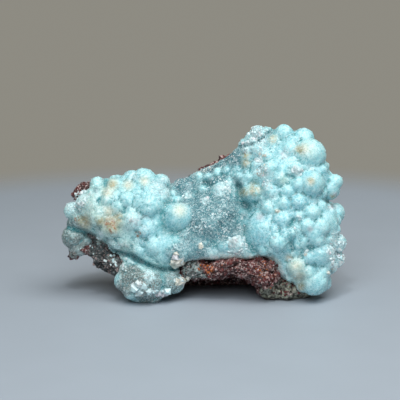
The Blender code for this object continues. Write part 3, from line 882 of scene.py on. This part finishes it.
# Least and greatest width of a blade, and height as a share of the width
BLADE_WIDTH = (0.22, 0.50)
BLADE_HEIGHT = (1.1, 1.9)
# How much blades lean, what share of their height is sunk, and the lowest foot of one
BLADE_LEAN = 0.45
BLADE_SUNK = 0.6
BLADE_LOWEST = 1.0
# How thickly they stand anywhere, on frosted spots and on the rims
BLADES_ANYWHERE = 0.01
BLADES_ON_FROST = 0.5
BLADES_ON_RIMS = 1.1
# How thickly they stand between the patches of the druse, how much more within them, how wide
# the patches are, and their seed
BLADES_BETWEEN = 0.45
BLADES_WITHIN = 0.9
PATCH_WIDTH = 6.0
PATCH_SEED = 71
# How far round the crust the frost and the rims carry blades
BLADES_ROUND = -0.3
# The rims, in the front view: across, up and radius
RIM_DRUSE = [(45.7, -16.7, 5.0), (46.7, -22.0, 5.0), (19.3, 21.3, 5.0), (15.0, 17.0, 4.0),
             (-13.0, -28.0, 7.0), (-8.0, -28.0, 6.0), (12.3, -15.0, 4.0), (-32.0, -19.0, 6.0),
             (-13.0, 5.0, 4.0), (-40.0, -2.0, 4.0)]


def stand(outward, lean, dice):
    """Turns that set shapes upright on the outward directions, leaning at random."""
    up = outward + dice.normal(0.0, lean, outward.shape)
    up /= np.linalg.norm(up, axis=1)[:, None]
    side = np.cross(up, dice.normal(0.0, 1.0, up.shape))
    side /= np.linalg.norm(side, axis=1)[:, None]
    return np.stack([side, np.cross(up, side), up], axis=2)


def plant(name, spots, outward, scale, lean, sunk, dice, lowest=0.0):
    """One object of small blades that stand on these spots, with no foot under the lowest."""
    turns = stand(outward, lean, dice) * scale[:, None, :]
    middles = spots - outward * (sunk * scale[:, 2])[:, None]
    middles[:, 2] = np.maximum(middles[:, 2], lowest)
    return add_object(name, many(name, BLADE_CORNERS, BLADE_FACETS, turns, middles))


def write_mask_of_each(planted, name, values):
    """A mask that has one value for every blade of an object."""
    write_mask(planted.data, name, np.repeat(values, len(BLADE_CORNERS)))


dice = np.random.default_rng(DRUSE_SEED)
local = points - np.array(CENTRE_SHIFT)
frosted = seen_near(local, SPOTS["frost"]) * (facing > BLADES_ROUND)
patchy = BLADES_BETWEEN + BLADES_WITHIN * (ripple(local, PATCH_WIDTH, PATCH_SEED) > 0.05)
weight = BLADES_ANYWHERE + druse * patchy * (1.0 - 0.8 * calm) + BLADES_ON_FROST * frosted
weight += BLADES_ON_RIMS * seen_near(local, RIM_DRUSE) * (facing > BLADES_ROUND)
picked = dice.choice(len(points), DRUSE_BLADES, replace=False, p=weight / weight.sum())
width = dice.uniform(*BLADE_WIDTH, DRUSE_BLADES)
height = width * dice.uniform(*BLADE_HEIGHT, DRUSE_BLADES)
blades = plant(
    "druse_blades", points[picked], outward[picked], np.stack([width, width, height], axis=1),
    BLADE_LEAN, BLADE_SUNK, dice, BLADE_LOWEST)
write_mask_of_each(blades, "shade", dice.random(DRUSE_BLADES))
write_mask_of_each(blades, "deep", druse[picked])
write_mask_of_each(blades, "frost", frosted[picked])

DEEP_BLADE = (0.035, 0.15, 0.19)
MID_BLADE = (0.125, 0.31, 0.37)
PALE_BLADE = (0.38, 0.66, 0.70)
BRIGHT_BLADE = (0.64, 0.84, 0.88)

look = Look("druse of hemimorphite")
shade = look.mask("shade")
colour = look.blend(look.mask("deep"), PALE_BLADE, look.blend(shade, DEEP_BLADE, MID_BLADE))
colour = look.blend(shade.over(0.8, 1.0) * 0.7, colour, BRIGHT_BLADE)
colour = look.blend(look.mask("frost").over(0.0, 0.6) * 0.85, colour, FROST)
blade_look = look.shine(
    Base_Color=colour, Roughness=0.12 + 0.25 * shade, IOR=1.61,
    Subsurface_Weight=0.5, Subsurface_Radius=(1.0, 1.2, 1.2), Subsurface_Scale=0.001)
finish_piece(blades, blade_look, smooth=False)

# THE BLOCKY CRYSTALS
# Stubby white, cream and pinkish crystals of later calcite and quartz. They stand in small
# clusters on the crust and on the rock below it, and grew fast to them.

# A cluster: across, up, radius, how many crystals, their size and the share of cream in them
CLUSTERS = [
    (28.3, 15.0, 0.9, 4, 1.0, 0.3), (32.3, 9.7, 1.5, 13, 1.1, 0.0),
    (25.7, -3.7, 0.4, 2, 0.9, 1.0), (33.0, -6.0, 0.8, 3, 0.9, 0.0),
    (32.0, -9.7, 0.6, 2, 0.8, 0.0), (26.0, -9.7, 0.6, 2, 0.7, 0.0),
    (24.7, -12.3, 0.7, 2, 0.7, 0.0), (35.3, -17.3, 1.0, 4, 0.9, 0.2),
    (43.0, -17.0, 1.4, 7, 1.0, 0.0), (30.3, -19.7, 0.7, 2, 0.8, 0.1),
    (13.7, -8.7, 1.0, 5, 0.8, 0.0), (12.3, -15.0, 3.2, 55, 1.1, 0.0),
    (-4.0, 1.7, 1.3, 5, 1.1, 0.1), (1.7, -0.3, 1.5, 7, 1.0, 0.1), (8.7, 4.7, 2.2, 13, 0.9, 0.0),
    (-1.0, -9.3, 1.2, 5, 0.8, 0.0), (0.0, -15.3, 0.5, 3, 1.1, 1.0),
    (-7.2, -20.6, 0.9, 9, 2.7, 0.8), (-5.7, -27.3, 1.6, 7, 1.7, 0.6),
    (-21.2, -29.0, 2.2, 13, 2.0, 0.1), (-12.3, -31.2, 1.9, 10, 1.9, 0.1),
    (-22.7, -7.0, 2.0, 7, 0.9, 0.1), (-29.7, -20.7, 2.2, 10, 0.8, 0.0),
    (-39.0, 0.8, 2.4, 18, 0.9, 0.0), (-41.6, -1.6, 2.0, 10, 0.9, 0.0),
    (-33.3, -12.0, 1.6, 7, 0.9, 0.0), (46.0, -15.5, 2.4, 26, 1.1, 0.0),
    (46.0, -20.5, 2.6, 32, 1.1, 0.0), (19.3, 21.5, 3.2, 48, 0.9, 0.0),
    (15.5, 18.0, 2.0, 18, 0.9, 0.0), (21.0, 16.0, 1.6, 10, 0.8, 0.2),
    (21.0, 9.8, 2.0, 20, 0.8, 0.1), (22.7, 5.0, 1.8, 12, 0.7, 0.0),
    (19.6, 13.4, 1.6, 10, 0.8, 0.1), (44.0, -24.0, 1.4, 5, 0.9, 0.5),
    (3.0, -27.5, 2.0, 5, 0.9, 0.3), (-38.0, -18.0, 3.0, 10, 0.6, 0.0),
    (-24.0, -21.5, 2.2, 7, 0.7, 0.0), (-7.2, -27.5, 0.8, 4, 2.0, 0.4),
    (-16.5, -30.5, 1.4, 6, 1.6, 0.0),
]
CLUSTER_SEED = 9
# No crystal or loose grain is placed lower than this
CLEAR_OF_TABLE = 2.0
# Least and greatest width, depth and height of a crystal, for a cluster of size 1
CRYSTAL_LEAST = (0.8, 1.2, 0.9)
CRYSTAL_GREATEST = (1.6, 3.2, 1.6)
CRYSTAL_LEAN = 0.8
CRYSTAL_SUNK = 0.6


def met(across, up, trees):
    """Where a sight line first meets the specimen, and the outward direction there."""
    start = front.eye + CENTRE_SHIFT
    hits = [tree.ray_cast(start, front.sight_line(across, up)) for tree in trees]
    hits = [hit for hit in hits if hit[0] is not None]
    return min(hits, key=lambda hit: hit[3])[:2] if hits else None


def met_at_random(groups, trees, dice):
    """Places on the specimen in round groups of the front view. A row is x, y, z, the outward
    direction there, and what its group asks for."""
    found = []
    for across, up, radius, count, *rest in groups:
        for _ in range(count):
            turn = dice.uniform(0.0, 2.0 * math.pi)
            out = radius * math.sqrt(dice.random())
            hit = met(across + out * math.cos(turn), up + out * math.sin(turn), trees)
            if hit and hit[0].z > CLEAR_OF_TABLE:
                found.append((*hit[0], *hit[1], *rest))
    return np.array(found)


dice = np.random.default_rng(CLUSTER_SEED)
found = met_at_random(CLUSTERS, [crust_tree, rock_tree], dice)
scale = dice.uniform(CRYSTAL_LEAST, CRYSTAL_GREATEST, (len(found), 3)) * found[:, 6:7]
crystals = plant(
    "blocky_crystals", found[:, :3], found[:, 3:6], scale, CRYSTAL_LEAN, CRYSTAL_SUNK, dice)
write_mask_of_each(crystals, "shade", dice.random(len(found)))
write_mask_of_each(crystals, "cream", dice.random(len(found)) < found[:, 7])

WHITE_CRYSTAL = (0.58, 0.90, 0.97)
CLEAR_CRYSTAL = (0.82, 0.98, 1.0)
PINKISH_CRYSTAL = (0.82, 0.82, 0.88)
CREAM_CRYSTAL = (0.84, 0.85, 0.72)
CRYSTAL_CLOUD = (0.52, 0.72, 0.75)

look = Look("white calcite")
shade = look.mask("shade")
colour = look.blend(shade, WHITE_CRYSTAL, CLEAR_CRYSTAL)
colour = look.blend(shade.over(0.92, 0.94), colour, PINKISH_CRYSTAL)
colour = look.blend(look.mask("cream"), colour, CREAM_CRYSTAL)
colour = look.blend(look.noise(0.5, 2.0).over(0.5, 0.7) * 0.3, colour, CRYSTAL_CLOUD)
crystal_look = look.shine(
    Base_Color=colour, Roughness=0.2 + 0.2 * shade,
    Subsurface_Weight=0.6, Subsurface_Radius=(1.0, 1.1, 1.1), Subsurface_Scale=0.0015)
finish_piece(crystals, crystal_look, smooth=False)

# THE LOOSE GRAINS
# Angular grains of quartz and iron oxide that the weathered rock sheds. They are pinkish white,
# orange and dark red, and stick to the broken faces of the matrix.

# A group: across, up, radius, how many grains, and the shares of white and orange ones
GRAINS = [
    (6.0, -23.0, 6.0, 60, 0.25, 0.15), (14.0, -24.0, 6.0, 75, 0.45, 0.05),
    (22.0, -23.0, 5.0, 60, 0.40, 0.05), (27.0, -27.0, 5.0, 55, 0.35, 0.10),
    (1.7, -22.7, 2.2, 26, 0.10, 0.80), (20.0, -22.0, 2.4, 30, 0.20, 0.80),
    (15.0, -23.5, 2.6, 30, 0.80, 0.05), (18.5, -27.5, 2.0, 20, 0.80, 0.10),
    (31.0, -31.0, 5.0, 50, 0.30, 0.05), (-38.0, -17.5, 4.0, 30, 0.20, 0.10),
    (-31.0, -21.0, 5.0, 60, 0.90, 0.0), (-28.0, -26.0, 4.0, 30, 0.70, 0.05),
    (-40.5, 5.5, 3.5, 40, 0.15, 0.05), (6.0, 15.0, 4.0, 24, 0.10, 0.10),
]
GRAIN_SEED = 12
# Of the white and the orange ones only these shares stay so, and the rest are dark red
WHITE_KEPT = 0.7
ORANGE_KEPT = 0.5
# Least width of a grain, how much wider the widest is, how rare wide ones are, and its length as
# a share of the width
GRAIN_LEAST = 0.3
GRAIN_MORE = 0.7
GRAIN_RARITY = 2.2
GRAIN_LENGTH = 1.7
GRAIN_LEAN = 0.9
GRAIN_SUNK = 0.45
# A grain this near the rock lies on it, and the others are left out
ON_ROCK = 0.05

dice = np.random.default_rng(GRAIN_SEED)
found = met_at_random(GRAINS, [crust_tree, rock_tree], dice)
gap = np.array([rock_tree.find_nearest(Vector(place))[3] for place in found[:, :3]])
found = found[gap < ON_ROCK]
size = GRAIN_LEAST + GRAIN_MORE * dice.random(len(found)) ** GRAIN_RARITY
scale = np.stack([size, size * GRAIN_LENGTH, size], axis=1)
grains = plant(
    "rock_grains", found[:, :3], found[:, 3:6], scale, GRAIN_LEAN, GRAIN_SUNK, dice)
lot = dice.random(len(found))
write_mask_of_each(grains, "white", lot < WHITE_KEPT * found[:, 6])
write_mask_of_each(grains, "orange", lot > 1.0 - ORANGE_KEPT * found[:, 7])
write_mask_of_each(grains, "shade", dice.random(len(found)))
write_mask_of_each(grains, "grey", near(found[:, :3], ROCK_PATCHES["grey"]))

DARK_RED_GRAIN = (0.055, 0.011, 0.014)
LIGHT_RED_GRAIN = (0.22, 0.052, 0.050)
GREY_GRAIN = (0.09, 0.12, 0.12)
WHITE_GRAIN = (0.34, 0.26, 0.25)
ORANGE_GRAIN = (0.42, 0.11, 0.018)
GRAIN_DIRT = (0.09, 0.03, 0.025)

look = Look("grains of the rock")
colour = look.blend(look.mask("shade"), DARK_RED_GRAIN, LIGHT_RED_GRAIN)
colour = look.blend(look.mask("grey").over(0.0, 0.3), colour, GREY_GRAIN)
colour = look.blend(look.mask("white"), colour, WHITE_GRAIN)
colour = look.blend(look.mask("orange"), colour, ORANGE_GRAIN)
colour = look.blend(look.noise(0.4, 2.0).over(0.45, 0.7) * 0.6, colour, GRAIN_DIRT)
finish_piece(grains, look.shine(Base_Color=colour, Roughness=0.35), smooth=False)

# THE TABLE, THE LIGHT AND THE CAMERA
# The specimen stands on a plain pale table under a large soft lamp, seen from slightly above.
# The table fades out behind it, so the horizon is soft. Sizes here are in metres, except the
# noise of the table and the camera's lens and sensor, which are in millimetres.
TABLE_RADIUS = 0.26
TABLE_FADE = (0.17, 0.235)
TABLE_COLOURS = [(0.307, 0.357, 0.410), (0.335, 0.388, 0.447)]
AIR_COLOUR = (0.27, 0.26, 0.225)
# How much of the air's brightness lights the specimen
AIR_LIGHT = 0.55
# A lamp: place, width, watts and colour
LAMPS = {
    "soft lamp": ((0.20, -0.12, 0.58), 0.50, 2.9, (1.0, 0.98, 0.96)),
    "front fill": ((-0.08, -0.52, 0.46), 0.50, 2.65, (0.95, 0.98, 1.0)),
    "glint": ((-0.05, -0.30, 0.60), 0.08, 0.80, (1.0, 1.0, 1.0)),
}
LAMPS_AIM = Vector((0.0, 0.0, 0.03))
SENSOR = 36.0
LENS = 162.0

disc = bmesh.new()
bmesh.ops.create_circle(disc, cap_ends=True, segments=96, radius=TABLE_RADIUS)
mesh = bpy.data.meshes.new("table")
disc.to_mesh(mesh)
disc.free()
floor = add_object("table", mesh)
look = Look("pale table")
spread = look.node("ShaderNodeVectorMath", {"operation": "LENGTH"}, {0: look.place}, "Value")
floor.data.materials.append(look.shine(
    Base_Color=look.blend(look.noise(30.0, 2.0), *TABLE_COLOURS), Roughness=0.6,
    Alpha=1.0 - spread.over(*TABLE_FADE)))

world = bpy.data.worlds.new("studio")
world.use_nodes = True
air = world.node_tree.nodes["Background"]
air.inputs["Color"].default_value = (*AIR_COLOUR, 1.0)
sight = world.node_tree.nodes.new("ShaderNodeLightPath")
share = world.node_tree.nodes.new("ShaderNodeMapRange")
share.inputs["To Min"].default_value = AIR_LIGHT
world.node_tree.links.new(sight.outputs["Is Camera Ray"], share.inputs["Value"])
world.node_tree.links.new(share.outputs["Result"], air.inputs["Strength"])
bpy.context.scene.world = world

for name, (place, width, watts, tint) in LAMPS.items():
    light = bpy.data.lights.new(name, "AREA")
    light.shape = "DISK"
    light.size = width
    light.energy = watts
    light.color = tint
    lamp = add_object(name, light)
    lamp.location = place
    lamp.rotation_euler = (LAMPS_AIM - Vector(place)).to_track_quat("-Z", "Y").to_euler()

camera = add_object("camera", bpy.data.cameras.new("camera"))
camera.data.sensor_width = SENSOR
camera.data.lens = LENS
camera.data.clip_end = 20.0
camera.location = (front.eye + CENTRE_SHIFT) * MM
camera.rotation_euler = front.forward.to_track_quat("-Z", "Y").to_euler()
bpy.context.scene.camera = camera
bpy.context.scene.view_settings.view_transform = "Standard"
